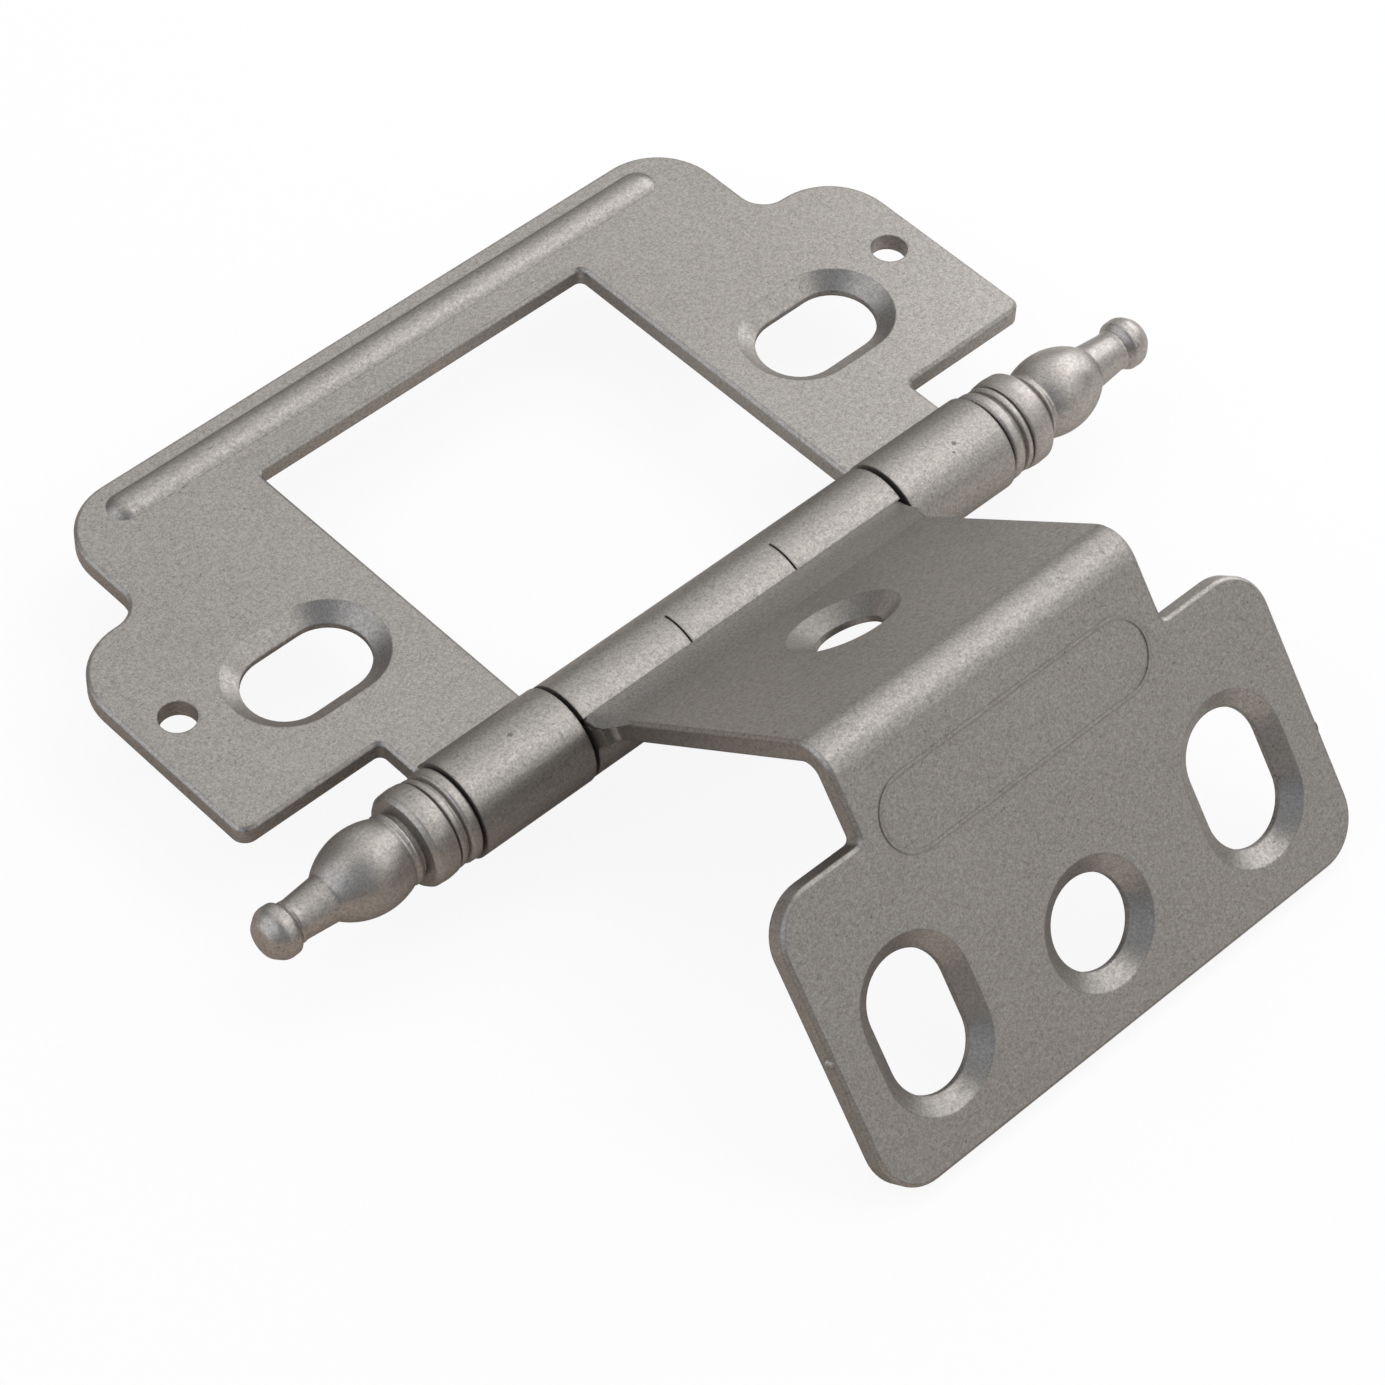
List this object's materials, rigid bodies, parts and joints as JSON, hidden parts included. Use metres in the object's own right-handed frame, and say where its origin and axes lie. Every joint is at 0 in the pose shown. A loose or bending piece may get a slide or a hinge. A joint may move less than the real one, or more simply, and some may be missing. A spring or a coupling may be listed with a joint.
{
  "type": "partial wrap cabinet hinge",
  "caption": "Partial wrap cabinet hinge: stamped frame leaf with a window, folded door leaf with a curled barrel, and a pin with turned finials.",
  "frame": {"origin": "midway between the frame leaf's two screw slots, on the leaf's back face", "axes": "+Z out of the frame leaf's countersunk face, +X along the pin, -Y from the screw slots towards the pin. The pin's axis is at y = -13.05 mm, z = 0.51 mm"},
  "size_m": [0.0694, 0.0644, 0.0193],
  "materials": {
    "leaf_finish": "satin plated sheet steel, warm grey, finely speckled",
    "finial_finish": "satin plated, turned",
    "pin_steel": "plain steel rod"
  },
  "bodies": {
    "frame_side": {"frame_leaf": "leaf_finish", "hinge_pin": "pin_steel", "finial_left": "finial_finish", "finial_right": "finial_finish"},
    "door_side": {"door_leaf": "leaf_finish"}
  },
  "joints": [
    {"name": "door_swing", "type": "hinge", "parent": "frame_side", "child": "door_side", "pos_m": [0, -0.01305, 0.00051], "axis": [1, 0, 0], "range_deg": [-142.3, 37.7]}
  ]
}
